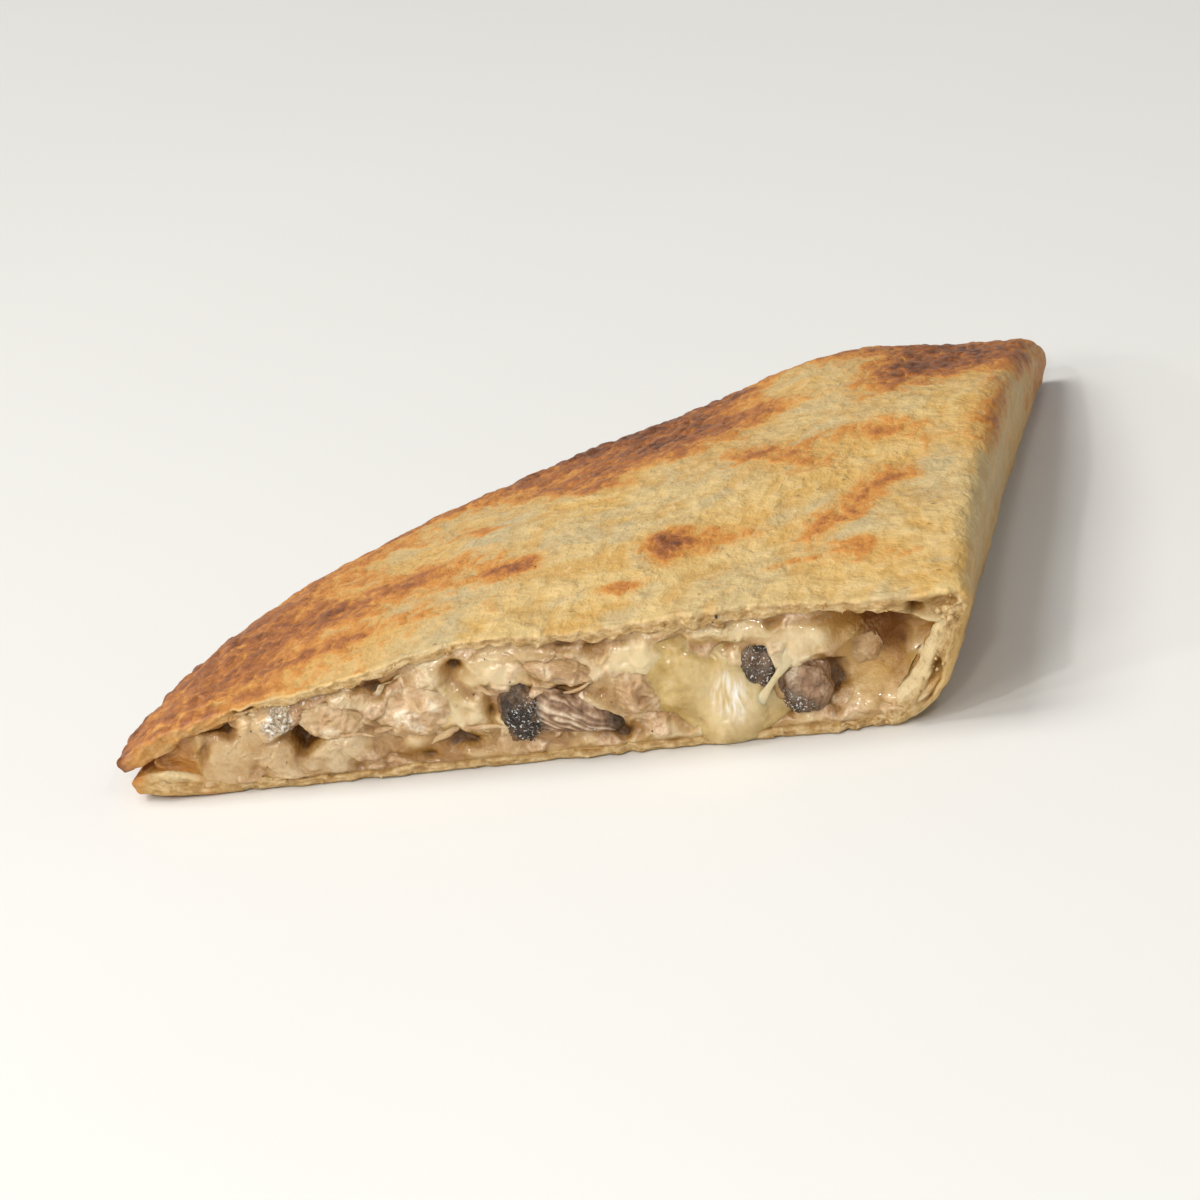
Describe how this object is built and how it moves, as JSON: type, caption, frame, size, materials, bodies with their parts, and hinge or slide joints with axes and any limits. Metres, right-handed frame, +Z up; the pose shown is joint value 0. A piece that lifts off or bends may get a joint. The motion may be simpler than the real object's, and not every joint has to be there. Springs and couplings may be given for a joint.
{
  "type": "quesadilla half",
  "caption": "Half of a folded, toasted flour-tortilla quesadilla, cut square to its fold to show a creamy filling of chicken, mushroom and melted cheese.",
  "frame": {"origin": "on the flat underside, below the middle of the half's bounding box", "axes": "+X across the cut towards the fold, +Y along the fold away from the cut, +Z up through the upper layer"},
  "size_m": [0.122, 0.1266, 0.0197],
  "materials": {
    "toasted_tortilla": "toasted flour dough, matte, pale with browned spots and rim",
    "creamy_sauce": "moist cream sauce, softly glossy",
    "melted_cheese": "melted mild cheese, smooth and glossy",
    "mushroom": "cooked mushroom, moist",
    "chicken": "cooked chicken, fibrous and moist"
  },
  "bodies": {
    "root": {"tortilla": "toasted_tortilla", "creamy_filling": "creamy_sauce", "melted_cheese": "melted_cheese", "mushroom_slice": "mushroom", "mushroom_piece_1": "mushroom", "mushroom_piece_2": "mushroom", "chicken_piece_1": "chicken", "chicken_piece_2": "chicken", "chicken_piece_3": "chicken", "chicken_piece_4": "chicken", "chicken_piece_5": "chicken"}
  },
  "joints": []
}
